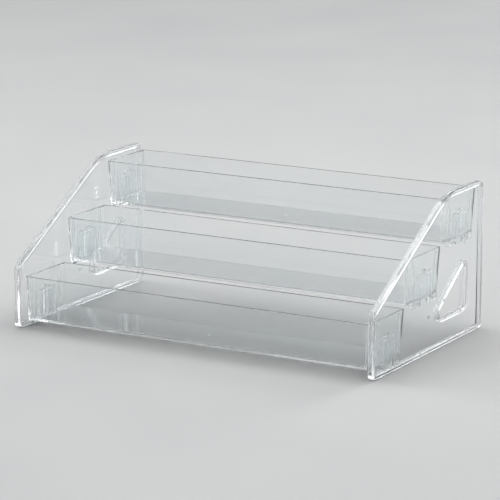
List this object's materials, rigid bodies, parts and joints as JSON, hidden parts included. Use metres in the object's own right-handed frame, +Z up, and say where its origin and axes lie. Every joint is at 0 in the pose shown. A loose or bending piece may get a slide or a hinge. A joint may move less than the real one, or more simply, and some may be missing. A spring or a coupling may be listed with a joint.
{
  "type": "tiered shelf riser",
  "caption": "Stepped shelf riser in clear plastic: sloped side panels with triangular hand holes carry open trays in rising steps; each tray lifts straight up off its rails.",
  "frame": {"origin": "on the floor at the middle of the footprint", "axes": "+X along the trays towards the right-hand panel, -Y towards the low front step, +Z up"},
  "size_m": [0.4, 0.23, 0.149],
  "materials": {
    "panel_clear": "polished clear moulded plastic",
    "tray_clear": "polished clear moulded plastic"
  },
  "bodies": {
    "frame": {"side_panel_left": "panel_clear", "side_panel_right": "panel_clear"},
    "lower": {"tray_lower": "tray_clear"},
    "middle": {"tray_middle": "tray_clear"},
    "upper": {"tray_upper": "tray_clear"}
  },
  "joints": [
    {"name": "lift_lower", "type": "slide", "parent": "frame", "child": "lower", "axis": [0, 0, 1], "range_m": [0, 0.105]},
    {"name": "lift_middle", "type": "slide", "parent": "frame", "child": "middle", "axis": [0, 0, 1], "range_m": [0, 0.105]},
    {"name": "lift_upper", "type": "slide", "parent": "frame", "child": "upper", "axis": [0, 0, 1], "range_m": [0, 0.065]}
  ]
}
